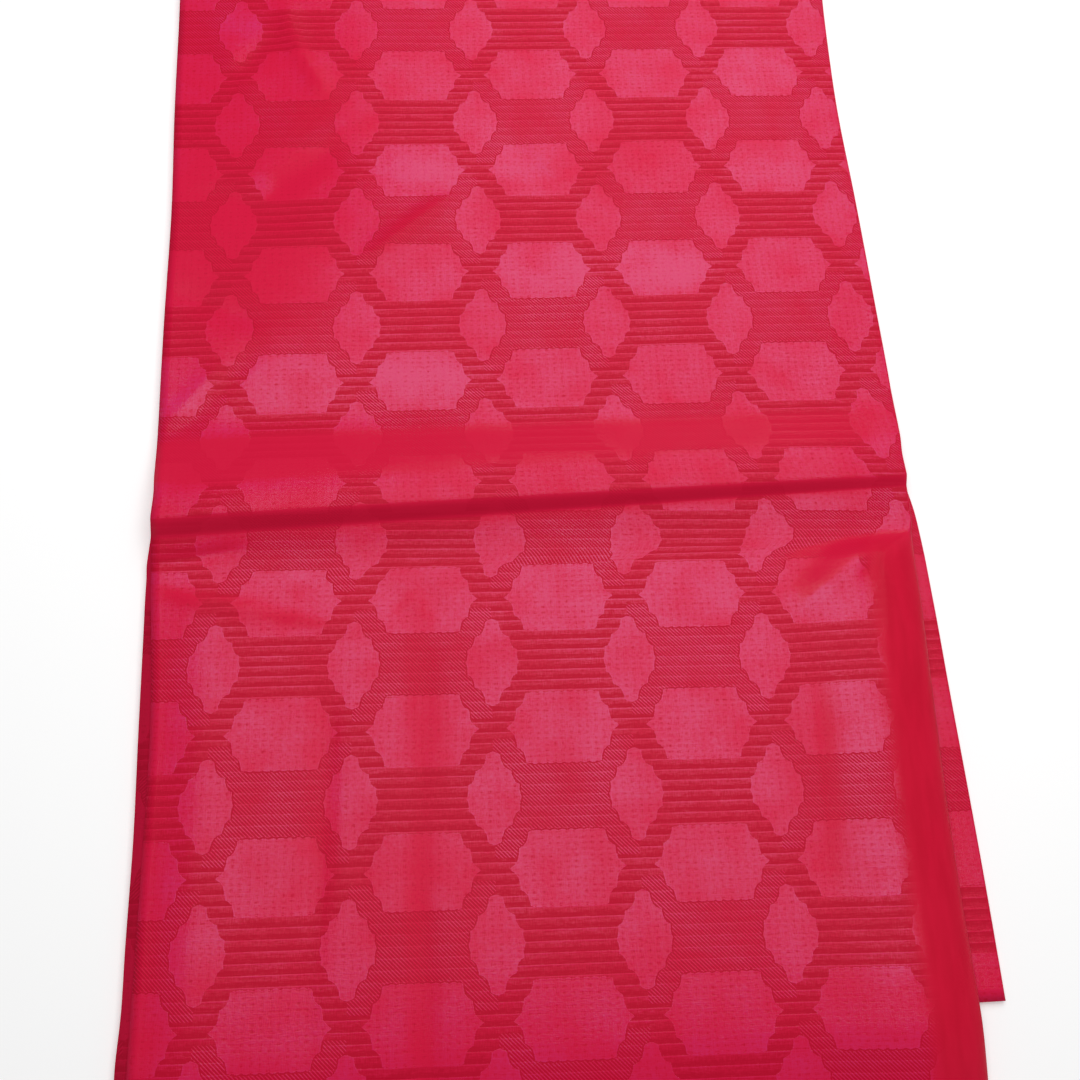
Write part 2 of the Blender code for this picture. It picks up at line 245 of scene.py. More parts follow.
CREASES = (
    Crease(0.0600, 0.3180, 0.0700, 0.2800, 0.0022, 0.0042),
    Crease(0.0690, 0.2850, 0.0850, 0.2530, 0.0024, 0.0044),
    Crease(0.0300, 0.2620, 0.0560, 0.2980, -0.0012, 0.0060),
    Crease(0.0240, 0.2900, 0.0460, 0.2450, 0.0010, 0.0070),
    Crease(0.0550, 0.1850, 0.0900, 0.2160, -0.0013, 0.0080),
    Crease(0.1100, 0.1420, 0.1600, 0.1820, 0.0020, 0.0055),
    Crease(0.1660, 0.1540, 0.1870, 0.1800, -0.0009, 0.0040),
    Crease(0.1940, 0.2210, 0.2100, 0.1880, -0.0012, 0.0040),
    Crease(0.0149, 0.1888, 0.0700, 0.1650, -0.0012, 0.0100),
    Crease(0.0050, 0.1250, 0.0500, 0.1020, -0.0012, 0.0070),
    Crease(0.0020, 0.0420, 0.0330, 0.0780, 0.0014, 0.0055),
    Crease(0.0100, 0.0400, 0.0520, 0.0900, -0.0010, 0.0050),
    Crease(-0.0050, -0.0330, 0.0440, -0.0260, -0.0012, 0.0040),
    Crease(0.0120, -0.0490, 0.0560, -0.0590, 0.0013, 0.0044),
    Crease(0.0500, -0.0580, 0.1000, -0.0680, 0.0009, 0.0040),
    Crease(0.1200, -0.0480, 0.1320, -0.0700, -0.0012, 0.0030),
    Crease(0.1350, -0.0450, 0.1480, -0.0660, -0.0012, 0.0030),
    Crease(0.1380, -0.0800, 0.1327, -0.1550, -0.0018, 0.0060),
    Crease(0.1330, -0.1500, 0.1340, -0.3100, -0.0020, 0.0070),
    Crease(0.0900, -0.1000, 0.0850, -0.2000, -0.0018, 0.0070),
    Crease(0.0850, -0.1900, 0.0780, -0.2800, -0.0014, 0.0080),
    Crease(0.1100, -0.1600, 0.1060, -0.1950, -0.0012, 0.0040),
    Crease(0.2000, -0.1000, 0.1960, -0.1750, -0.0009, 0.0060),
    Crease(0.3339, -0.1000, 0.3320, -0.1450, -0.0016, 0.0030),
    Crease(0.3300, -0.1450, 0.3260, -0.2100, -0.0014, 0.0050),
    Crease(0.3300, -0.0680, 0.3640, -0.0400, 0.0014, 0.0050),
    Crease(0.3250, -0.0560, 0.3500, -0.0360, -0.0012, 0.0045),
    Crease(0.3650, -0.0530, 0.3950, -0.0340, -0.0020, 0.0045),
    Crease(0.3655, -0.0500, 0.3646, -0.0820, -0.0016, 0.0040),
)

# Steps of the mesh
TOP_STEPS = 84
ROLL_STEPS = 12
UNDER_STEPS = 14
TURN_STEPS = 12

OVER_STATIONS = (
    (NEAR_END, DROP_END, 4),
    (DROP_END, DROP_START, 14),
    (DROP_START, -0.080, 58),
    (-0.080, -0.040, 14),
    (-0.040, -0.016, 14),
    (-0.016, 0.004, 26),
    (0.004, 0.056, 34),
    (0.056, FAR_TURN - TURN_LIFT_LENGTH, 80),
    (FAR_TURN - TURN_LIFT_LENGTH, FAR_TURN, 10),
)
UNDER_STATIONS = (
    (FAR_TURN, 0.056, 18),
    (0.056, -0.040, 32),
    (-0.040, UNDER_END, 38),
)
RIDGE_FAR_FOOT = 0.056
RIDGE_NEAR_FOOT = -0.040


def ease(share):
    """Smooth step from 0 to 1."""
    share = min(1.0, max(0.0, share))
    return share * share * (3.0 - 2.0 * share)


def blend(low, high, share):
    return low + (high - low) * share


def edge_at(rows, along):
    """Smooth curve through the rows of an edge table, read at one place along the strip."""
    along = min(rows[-1].along, max(rows[0].along, along))
    last = len(rows) - 1
    index = 0
    while index < last - 1 and rows[index + 1].along < along:
        index += 1
    start, end = rows[index], rows[index + 1]
    before, after = rows[max(index - 1, 0)], rows[min(index + 2, last)]
    length = end.along - start.along
    share = (along - start.along) / length
    start_pull = length / (end.along - before.along)
    end_pull = length / (after.along - start.along)
    values = []
    for a, b, c, d in zip(before, start, end, after):
        leave = (c - a) * start_pull
        arrive = (d - b) * end_pull
        values.append(
            b * (2 * share**3 - 3 * share**2 + 1)
            + leave * (share**3 - 2 * share**2 + share)
            + c * (3 * share**2 - 2 * share**3)
            + arrive * (share**3 - share**2)
        )
    edge = Edge(*values)
    return edge._replace(puff=max(edge.puff, 0.0), roll=min(max(edge.roll, 0.0), 1.0))


def slanted(across, along):
    """Turn a station so that it runs along the slanting ridge, and square again away from it."""
    weight = 1.0 - ease(abs(along) / SLANT_REACH)
    return along + RIDGE_SLANT * (across - STRIP_WIDTH / 2) * weight


def rise(share, softness):
    """Share of the height at a share of the way up a slope."""
    share = min(1.0, max(0.0, share))
    full = 1.0 - (softness.foot + softness.crest) / 2
    if share < softness.foot:
        return share**2 / (2 * softness.foot) / full
    if share < 1.0 - softness.crest:
        return (share - softness.foot / 2) / full
    return 1.0 - (1.0 - share) ** 2 / (2 * softness.crest) / full


def ridge_height(across, along):
    """Height of the ridge above the flat strip at one place of a station."""
    share_across = min(1.0, max(0.0, across / STRIP_WIDTH))
    height = blend(RIDGE_LEFT_HEIGHT, RIDGE_RIGHT_HEIGHT, share_across)
    from_edge = min(across, STRIP_WIDTH - across) / RIDGE_EDGE_WIDTH
    height *= 1.0 - RIDGE_EDGE_SAG * (1.0 - ease(from_edge))
    from_crest = along - RIDGE_CREST
    if from_crest > 0:
        return height * rise(1.0 - from_crest / RIDGE_FAR_WIDTH, FAR_SLOPE)
    steep_width = blend(RIDGE_LEFT_STEEP, RIDGE_RIGHT_STEEP, share_across)
    steep = rise(1.0 + from_crest / steep_width, STEEP_SLOPE)
    tail = rise(1.0 + from_crest / RIDGE_TAIL_WIDTH, TAIL_SLOPE)
    return height * blend(tail, steep, RIDGE_STEEP_SHARE)


def over_surface(across, along):
    """Middle of the over strip."""
    height = OVER_HEIGHT + ridge_height(across, along)
    height += TURN_LIFT * ease((along - FAR_TURN + TURN_LIFT_LENGTH) / TURN_LIFT_LENGTH)
    height -= (OVER_HEIGHT - UNDER_HEIGHT) * ease((along - DROP_START) / (DROP_END - DROP_START))
    return Vector((across, slanted(across, along), height))


def under_surface(across, along):
    """Middle of the under strip."""
    height = UNDER_HEIGHT + RIDGE_UNDER_SHARE * ridge_height(across, along)
    return Vector((across, slanted(across, along), height))


def upward_normal(surface, across, along):
    step = 0.0002
    go_right = surface(across + step, along) - surface(across - step, along)
    go_far = surface(across, along + step) - surface(across, along - step)
    return go_right.cross(go_far).normalized()


def swell_height(across, along):
    total = 0.0
    for swell in SWELLS:
        x = (across - swell.across) / swell.radius_x
        y = (along - swell.along) / swell.radius_y
        total += swell.height * math.exp(-x * x - y * y)
    return total


def crease_height(across, along):
    """Sum of the creases at one place. Each has a soft cross-section and fades at its ends."""
    total = 0.0
    for crease in CREASES:
        run_x = crease.end_x - crease.start_x
        run_y = crease.end_y - crease.start_y
        length = math.hypot(run_x, run_y)
        from_x = across - crease.start_x
        from_y = along - crease.start_y
        share = (from_x * run_x + from_y * run_y) / length**2
        aside = (from_x * run_y - from_y * run_x) / length / crease.width
        past_middle = 2.0 * share - 1.0
        total += crease.height * math.exp(-past_middle**4) / (1.0 + aside * aside) ** 1.5
    return total


def top_ply(edge, along, creased):
    """Outer ply from its free left edge to the crest of the fold, as (across, offset)."""
    crest_back = blend(PLY_OFFSET, ROLL_BACK, edge.roll)
    crest = edge.right - crest_back
    points = []
    for step in range(TOP_STEPS + 1):
        across = blend(edge.left, crest, step / TOP_STEPS)
        droop = ease((across - edge.left) / LEFT_DROOP)
        ramp = ease(1.0 - (crest - across) / ROLL_RAMP)
        lift = blend(edge.puff * droop, ROLL_RISE * edge.roll, ramp)
        if creased:
            fade = droop * ease((crest - across) / LEFT_DROOP)
            lift += fade * swell_height(across, along)
            lift += crease_height(across, slanted(across, along))
        points.append((across, PLY_OFFSET + lift))
    return points


def fold(edge):
    """Right fold from its crest round to the inner ply, as (across, offset)."""
    crest_back = blend(PLY_OFFSET, ROLL_BACK, edge.roll)
    under_back = blend(PLY_OFFSET, ROLL_UNDER_BACK, edge.roll)
    power = blend(2.0, ROLL_POWER, edge.roll)
    crest = PLY_OFFSET + ROLL_RISE * edge.roll
    limb = blend(-PLY_OFFSET, crest, blend(0.5, ROLL_LIMB_SHARE, edge.roll))
    points = []
    for step in range(1, ROLL_STEPS + 1):
        angle = step / ROLL_STEPS * math.pi / 2
        across = edge.right - crest_back + crest_back * math.sin(angle) ** (2 / power)
        points.append((across, limb + (crest - limb) * math.cos(angle) ** (2 / power)))
    for step in range(1, ROLL_STEPS + 1):
        angle = step / ROLL_STEPS * math.pi / 2
        across = edge.right - under_back + under_back * math.cos(angle)
        points.append((across, limb - (limb + PLY_OFFSET) * math.sin(angle)))
    return points


def inner_ply(edge):
    """Inner ply from the fold back to its free left edge, as (across, offset)."""
    start = edge.right - blend(PLY_OFFSET, ROLL_UNDER_BACK, edge.roll)
    points = []
    for step in range(1, UNDER_STEPS + 1):
        share = (step / UNDER_STEPS) ** 2
        points.append((blend(start, edge.inner_left, share), -PLY_OFFSET))
    return points


def section(edge, along, creased):
    return top_ply(edge, along, creased) + fold(edge) + inner_ply(edge)


def stations(runs):
    """Places along a strip from a table of (start, end, steps)."""
    places = [runs[0][0]]
    for start, end, steps in runs:
        for step in range(1, steps + 1):
            places.append(blend(start, end, step / steps))
    return places


def over_rows():
    rows = []
    for along in stations(OVER_STATIONS):
        row = []
        for across, offset in section(edge_at(OVER_EDGES, along), along, True):
            normal = upward_normal(over_surface, across, along)
            row.append(over_surface(across, along) + normal * offset)
        rows.append(row)
    return rows


def turn_rows():
    """The far fold, a half turn from the over strip down to the under strip."""
    edge = edge_at(OVER_EDGES, FAR_TURN)
    middle = UNDER_HEIGHT + TURN_RADIUS
    rows = []
    for step in range(1, TURN_STEPS):
        angle = step / TURN_STEPS * math.pi
        outward = Vector((0.0, math.sin(angle), math.cos(angle)))
        row = []
        for across, offset in section(edge, FAR_TURN, False):
            base = Vector((across, FAR_TURN, middle))
            row.append(base + outward * (TURN_RADIUS + offset))
        rows.append(row)
    return rows


def under_rows():
    """The under strip is upside down, so its outer ply lies on the table."""
    rows = []
    for along in stations(UNDER_STATIONS):
        row = []
        for across, offset in section(edge_at(UNDER_EDGES, along), along, False):
            normal = upward_normal(under_surface, across, along)
            row.append(under_surface(across, along) - normal * offset)
        rows.append(row)
    return rows


def distances(points):
    """Running length along a line of points."""
    total = [0.0]
    for start, end in zip(points, points[1:]):
        total.append(total[-1] + (end - start).length)
    return total


def nearest(places, place):
    """Index of the station at a place."""
    return min(range(len(places)), key=lambda index: abs(places[index] - place))


def far_weave(across, along):
    """Column and row of the pattern on the far side of the ridge."""
    return across / COLUMN_PITCH, RIDGE_ROW - along / ROW_PITCH


def near_weave(across, along):
    """Column and row of the pattern on the near side of the ridge."""
    x = across - NEAR_PIVOT_COLUMN * COLUMN_PITCH - NEAR_SHIFT[0]
    y = along - NEAR_SHIFT[1]
    cosine, sine = math.cos(NEAR_TURN), math.sin(NEAR_TURN)
    column = NEAR_PIVOT_COLUMN + (cosine * x + sine * y) / COLUMN_PITCH
    row = RIDGE_ROW - (cosine * y - sine * x) / ROW_PITCH
    return column, row


def over_weave(rows):
    """Column and row of the pattern at each point of the over strip."""
    places = stations(OVER_STATIONS)
    near_foot = nearest(places, RIDGE_NEAR_FOOT)
    far_foot = nearest(places, RIDGE_FAR_FOOT)
    weave = []
    for row in rows:
        left = row[0].x
        weave.append([left + length for length in distances(row)])
    columns = len(rows[0])
    result = [[None] * columns for _ in rows]
    for column in range(columns):
        ridge_line = [rows[index][column] for index in range(near_foot, far_foot + 1)]
        lengths = distances(ridge_line)
        near = near_weave(weave[near_foot][column], rows[near_foot][column].y)
        far = far_weave(weave[far_foot][column], rows[far_foot][column].y)
        for index, row in enumerate(rows):
            if index < near_foot:
                result[index][column] = near_weave(weave[index][column], row[column].y)
            elif index > far_foot:
                result[index][column] = far_weave(weave[index][column], row[column].y)
            else:
                share = lengths[index - near_foot] / lengths[-1]
                result[index][column] = (
                    blend(near[0], far[0], share),
                    blend(near[1], far[1], share),
                )
    return result


def further_weave(last_weave, last_row, rows):
    """Column and row of the pattern on the turn and the under strip, past the over strip's last row."""
    result = []
    for index, row in enumerate(rows):
        left = row[0].x
        lengths = distances(row)
        values = []
        for column, point in enumerate(row):
            before = rows[index - 1][column] if index else last_row[column]
            before_row = result[index - 1][column][1] if index else last_weave[column][1]
            step = (point - before).length / ROW_PITCH
            values.append(((left + lengths[column]) / COLUMN_PITCH, before_row - step))
        result.append(values)
    return result


def painted_sheen_and_gloss_at(point):
    """Painted sheen and gloss at a place of the over strip's face, 0 where it is as on most of the
    cloth.
    """
    gloss = 0.0
    for patch in PATCHES:
        turn = math.radians(patch.turn)
        from_x = point.x - patch.across
        from_y = point.y - patch.along
        x = (math.cos(turn) * from_x + math.sin(turn) * from_y) / patch.radius_x
        y = (math.cos(turn) * from_y - math.sin(turn) * from_x) / patch.radius_y
        gloss += patch.gloss * math.exp(-((x * x + y * y) ** 2))
    return min(1.0, max(-1.0, gloss))


def painted_sheen_and_gloss_rows(over, rest):
    """Painted sheen and gloss at each point of the sheet."""
    face = TOP_STEPS + 2 * ROLL_STEPS + 1
    rows = []
    for row in over:
        rows.append([painted_sheen_and_gloss_at(point) for point in row[:face]] + [INNER_PAINTED_SHEEN_AND_GLOSS] * len(row[face:]))
    return rows + [[UNDER_PAINTED_SHEEN_AND_GLOSS] * len(row) for row in rest]


def flatness_rows(rows):
    """1 at each point where the sheet is level, falling to 0 where it is tilted."""
    result = []
    for index, row in enumerate(rows):
        before, after = rows[max(index - 1, 0)], rows[min(index + 1, len(rows) - 1)]
        values = []
        for column in range(len(row)):
            left, right = row[max(column - 1, 0)], row[min(column + 1, len(row) - 1)]
            normal = (right - left).cross(after[column] - before[column])
            sideways = math.hypot(normal.x, normal.y)
            tilt = math.atan2(sideways, abs(normal.z))
            away = 0.5 + 0.5 * normal.y / max(sideways, 1e-12)
            clear = blend(NEAR_TILTS.clear, AWAY_TILTS.clear, away)
            faint = blend(NEAR_TILTS.faint, AWAY_TILTS.faint, away)
            values.append(1.0 - ease((tilt - clear) / (faint - clear)))
        result.append(values)
    return result


def roll_rows(rest):
    """1 at each point of the roll's face, where painted shade takes the place of the pattern, 0
    elsewhere.
    """
    rows = []
    for along in stations(OVER_STATIONS):
        edge = edge_at(OVER_EDGES, along)
        border = edge.right - ROLL_FACE - ROLL_BORDER
        row = []
        for across, _ in section(edge, along, False):
            row.append(edge.roll * ease((across - border) / ROLL_BORDER))
        rows.append(row)
    return rows + [[0.0] * len(row) for row in rest]


def sheet_mesh(name, rows, weave, fields):
    """One open sheet through the rows of points, with the place in the weave as its UV map.

    fields holds rows of values by name, each kept as an attribute of the points.
    """
    mesh = bpy.data.meshes.new(name)
    sheet = bmesh.new()
    layer = sheet.loops.layers.uv.new("weave")
    layers = {field: sheet.verts.layers.float.new(field) for field in fields}
    grid = []
    for index, row in enumerate(rows):
        verts = []
        for column, point in enumerate(row):
            vert = sheet.verts.new(point - CENTRE)
            for field, values in fields.items():
                vert[layers[field]] = values[index][column]
            verts.append(vert)
        grid.append(verts)
    for index in range(len(grid) - 1):
        for column in range(len(grid[0]) - 1):
            corners = (
                (index, column),
                (index, column + 1),
                (index + 1, column + 1),
                (index + 1, column),
            )
            face = sheet.faces.new([grid[i][j] for i, j in corners])
            face.smooth = True
            for loop, (i, j) in zip(face.loops, corners):
                loop[layer].uv = weave[i][j]
    sheet.to_mesh(mesh)
    sheet.free()
    return mesh


# Sizes of the woven figures in millimetres
COLUMN_MM = COLUMN_PITCH * 1000
ROW_MM = ROW_PITCH * 1000
HEXAGON_HALF_HEIGHT = 17.6
LOZENGE_HALF_HEIGHT = 22.0
SCALLOPS_PER_COLUMN = 17
SCALLOP_DEPTH = 0.6
STRIPES_PER_ROW = 13
STRIPE_SHIFT = 0.60
TWILLS_PER_COLUMN = 37
TWILLS_PER_ROW = 36
TWILL_MARGIN = 0.6
DOTS_PER_COLUMN = 17
DOTS_PER_ROW = 24

# Height from the middle of a row at which the twill gives way to the plain necks
NECK_START = 4.6
NECK_END = 5.4

# Half width of a figure against the height from its middle. Its sides are small hollow scallops.
Outline = namedtuple("Outline", "height half_width")

HEXAGON_OUTLINE = (
    Outline(0.0, 27.8),
    Outline(0.8, 26.8),
    Outline(1.8, 25.4),
    Outline(3.5, 24.0),
    Outline(6.0, 23.3),
    Outline(9.5, 22.8),
    Outline(10.3, 21.3),
    Outline(12.0, 19.6),
    Outline(14.5, 18.8),
    Outline(16.8, 18.4),
    Outline(17.3, 16.9),
    Outline(18.0, 16.0),
)
LOZENGE_OUTLINE = (
    Outline(0.0, 13.3),
    Outline(1.5, 12.7),
    Outline(3.5, 12.3),
    Outline(6.2, 12.4),
    Outline(7.0, 10.8),
    Outline(8.5, 9.7),
    Outline(10.5, 9.0),
    Outline(12.7, 8.7),
    Outline(13.4, 6.9),
    Outline(14.6, 5.3),
    Outline(16.5, 4.2),
    Outline(18.5, 3.6),
    Outline(20.4, 3.4),
    Outline(21.2, 2.4),
    Outline(22.0, 0.4),
)
CURVE_SIZE = 30.0

# Sheen of the striped ground against the place in one stripe
STRIPE_SHEEN = (
    (0.00, 0.75),
    (0.03, 0.85),
    (0.08, 0.50),
    (0.16, 0.31),
    (0.40, 0.27),
    (0.50, 0.23),
    (0.57, 0.04),
    (0.90, 0.00),
    (0.96, 0.12),
    (1.00, 0.75),
)

# Sheen of the figures: their plain weave, what a dot takes from it and what the rim adds
FIGURE_SHEEN = 0.86
DOT_DEPTH = 0.28
DOT_FULL = 1.9
RIM_SHEEN = 0.28
RIM_START = 0.2
RIM_END = 0.7
FIGURE_SOFTNESS = 0.15

# Sheen of the twill: its lines, soft between start and end and from low to high, its share of the
# stripes, and its plain margin
TWILL_LINE_START = -0.2
TWILL_LINE_END = 0.9
TWILL_LOW = -0.25
TWILL_HIGH = 0.75
TWILL_STRIPE_SHARE = 0.80
MARGIN_SHEEN = 0.05
MARGIN_SOFTNESS = 0.3

# Noise along the threads, in streaks and in blotches, and how much of each shows
SLUB_STRETCH = 5.0
SLUB_SCALE = 22.0
SLUB_DETAIL = 3.0
STREAK_STRETCH = 9.0
STREAK_SCALE = 5.0
BLOTCH_SCALE = 3.2
BLOTCH_DETAIL = 4.0
BLOTCH_SHARE = 1.6
RAGGED_SHARE = 0.5
GROUND_THREAD = 0.70
FIGURE_THREAD = 1.00
STREAK_SHARE = 0.45
# Streaks of painted shade on the roll's face: their scale, their stretch across and along, and the span
# from the darker red to the lighter
ROLL_STREAK_SCALE = 4.0
ROLL_STREAK_COLUMNS = 2.5
ROLL_STREAK_ROWS = 0.5
ROLL_STREAK_START = 0.25
ROLL_STREAK_END = 0.75

# How clearly the pattern shows: under the dullest patches, and at its faintest on slopes, where painted
# shade takes its sheen out. The rest set the coat and the painted red on slopes, the red of the pattern,
# and the span of the painted pink sheen.
DULLEST_CLARITY = 0.5
FULL_CLARITY = 0.75
FAINTEST_CONTRAST = 0.40
SLOPE_VEIL = 0.45
SLOPE_RED_SHARE = 0.50
EVEN_RED_SHARE = 0.70
FULL_RED_SHEEN = 0.7
PINK_START = 0.25
PINK_END = 1.5

# Gloss of the face
COAT_LOW = 0.01
COAT_HIGH = 0.56
FULL_VEIL = 1.6
COAT_ROUGHNESS = 0.17
GROUND_ROUGHNESS = 0.42
FIGURE_ROUGHNESS = 0.58
SPECULAR_LEVEL = 0.05
SHEEN_WEIGHT = 0.05
SHEEN_ROUGHNESS = 0.4
SHEEN_TINT = (1.0, 0.45, 0.55, 1.0)
RELIEF_STRENGTH = 0.35
RELIEF_HEIGHT = 0.00015

# Colours of the face. The deep and clear reds are the weave's own. The pink is painted sheen, the slope
# red is painted light of tilted faces in place of the pattern's sheen, and the roll's reds are painted
# shade.
DEEP_RED = (0.490, 0.0045, 0.0280, 1.0)
CLEAR_RED = (0.640, 0.0073, 0.0480, 1.0)
PAINTED_SHEEN_PINK = (0.636, 0.0160, 0.1150, 1.0)
PAINTED_SLOPE_RED = (0.620, 0.0085, 0.0460, 1.0)
ROLL_PAINTED_SHADE_RED = (0.600, 0.0070, 0.0350, 1.0)
ROLL_PAINTED_DARK_SHADE = (0.550, 0.0060, 0.0300, 1.0)


class Graph:
    """Short calls that add nodes to one material."""

    def __init__(self, tree):
        self.tree = tree

    def node(self, kind, inputs=None, **settings):
        node = self.tree.nodes.new(kind)
        for name, value in settings.items():
            setattr(node, name, value)
        for name, value in (inputs or {}).items():
            self.feed(node.inputs[name], value)
        return node

    def feed(self, socket, value):
        if isinstance(value, bpy.types.NodeSocket):
            self.tree.links.new(value, socket)
        else:
            socket.default_value = value

    def math(self, operation, *values):
        inputs = dict(enumerate(values))
        return self.node("ShaderNodeMath", inputs, operation=operation).outputs[0]

    def curve(self, value, points):
        """Float curve with straight runs between its points."""
        node = self.node("ShaderNodeFloatCurve", {"Value": value})
        curve = node.mapping.curves[0]
        curve.points[0].location = points[0]
        curve.points[1].location = points[-1]
        for point in points[1:-1]:
            curve.points.new(*point)
        for point in curve.points:
            point.handle_type = "VECTOR"
        node.mapping.update()
        return node.outputs[0]

    def range(self, value, low, high, to_low=0.0, to_high=1.0, smooth=True):
        inputs = {"Value": value, "From Min": low, "From Max": high, "To Min": to_low, "To Max": to_high}
        kind = "SMOOTHSTEP" if smooth else "LINEAR"
        return self.node("ShaderNodeMapRange", inputs, interpolation_type=kind).outputs[0]

    def mix(self, share, low, high):
        node = self.node("ShaderNodeMix", data_type="FLOAT")
        self.feed(node.inputs[0], share)
        self.feed(node.inputs[2], low)
        self.feed(node.inputs[3], high)
        return node.outputs[0]

    def mix_colour(self, share, low, high):
        node = self.node("ShaderNodeMix", data_type="RGBA")
        self.feed(node.inputs[0], share)
        self.feed(node.inputs[6], low)
        self.feed(node.inputs[7], high)
        return node.outputs[2]

    def noise(self, column, row, scale, detail=2.0):
        """Noise over the cloth, finer along the side whose value is multiplied up."""
        place = self.node("ShaderNodeCombineXYZ", {"X": column, "Y": row}).outputs[0]
        inputs = {"Vector": place, "Scale": scale, "Detail": detail}
        return self.node("ShaderNodeTexNoise", inputs, noise_dimensions="2D").outputs[0]


def from_middle(graph, value, shift, size):
    """Distance in millimetres from the middle of the nearest repeat."""
    wrapped = graph.math("FRACT", graph.math("ADD", value, shift))
    return graph.math("MULTIPLY", graph.math("ABSOLUTE", graph.math("SUBTRACT", wrapped, 0.5)), size)


def half_width(graph, height, outline):
    """Half width of a figure in millimetres at a height from its middle."""
    points = [(point.height / CURVE_SIZE, point.half_width / CURVE_SIZE) for point in outline]
    points.append((1.0, 0.0))
    share = graph.curve(graph.math("DIVIDE", height, CURVE_SIZE), points)
    return graph.math("MULTIPLY", share, CURVE_SIZE)


def figure_depth(graph, column, row):
    """Millimetres inside the nearest hexagon or lozenge, less than zero outside."""
    x = from_middle(graph, column, 0.5, COLUMN_MM)
    y = from_middle(graph, row, 0.5, ROW_MM)
    aside = graph.math("SUBTRACT", half_width(graph, y, HEXAGON_OUTLINE), x)
    turn = graph.math("MULTIPLY", column, SCALLOPS_PER_COLUMN * math.pi)
    scallop = graph.math("MULTIPLY", graph.math("ABSOLUTE", graph.math("SINE", turn)), SCALLOP_DEPTH)
    top = graph.math("ADD", HEXAGON_HALF_HEIGHT - SCALLOP_DEPTH, scallop)
    hexagon = graph.math("MINIMUM", aside, graph.math("SUBTRACT", top, y))
    x = from_middle(graph, column, 0.0, COLUMN_MM)
    y = from_middle(graph, row, 0.0, ROW_MM)
    aside = graph.math("SUBTRACT", half_width(graph, y, LOZENGE_OUTLINE), x)
    lozenge = graph.math("MINIMUM", aside, graph.math("SUBTRACT", LOZENGE_HALF_HEIGHT, y))
    return graph.math("MAXIMUM", hexagon, lozenge)


def twill_share(graph, column, row):
    """1 in the ground cells that are woven as twill, 0 in the striped ones and in the necks."""
    cell = graph.math("ADD", graph.math("ROUND", column), graph.math("FLOOR", row))
    odd = graph.math("ABSOLUTE", graph.math("MODULO", cell, 2.0))
    from_neck = from_middle(graph, row, 0.5, ROW_MM)
    return graph.math("MULTIPLY", odd, graph.range(from_neck, NECK_START, NECK_END))


